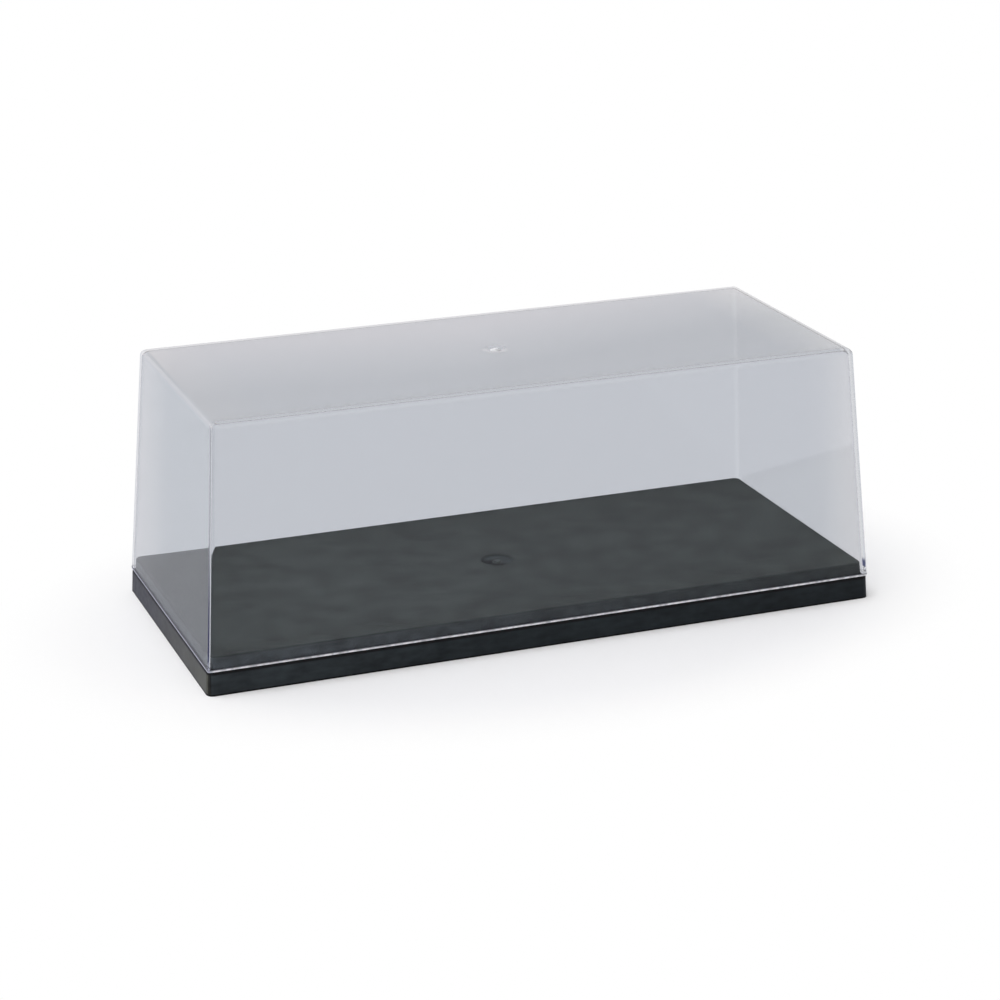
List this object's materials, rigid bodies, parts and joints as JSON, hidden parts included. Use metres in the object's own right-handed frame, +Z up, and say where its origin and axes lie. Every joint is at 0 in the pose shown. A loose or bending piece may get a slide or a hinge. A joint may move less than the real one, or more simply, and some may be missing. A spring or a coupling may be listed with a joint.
{
  "type": "plastic display case",
  "caption": "Low rectangular display case for a scale model: a stepped black base tray and a clear, tapered, open-bottomed cover that drops over its raised platform and lifts straight off.",
  "frame": {"origin": "centre of the base's footprint, on the surface that the case stands on", "axes": "+X along the long side, -Y towards the front long side, +Z up, the way that the cover lifts off"},
  "size_m": [0.25, 0.11, 0.0938],
  "materials": {
    "black_base_plastic": "black moulded polystyrene, fine matt texture on the platform and satin on the skirt",
    "clear_cover_plastic": "clear polished polystyrene with a faint cool tint"
  },
  "bodies": {
    "base": {"base": "black_base_plastic"},
    "cover": {"clear_cover": "clear_cover_plastic"}
  },
  "joints": [
    {"name": "cover_lift", "type": "slide", "parent": "base", "child": "cover", "axis": [0, 0, 1], "range_m": [0, 0.15]}
  ]
}
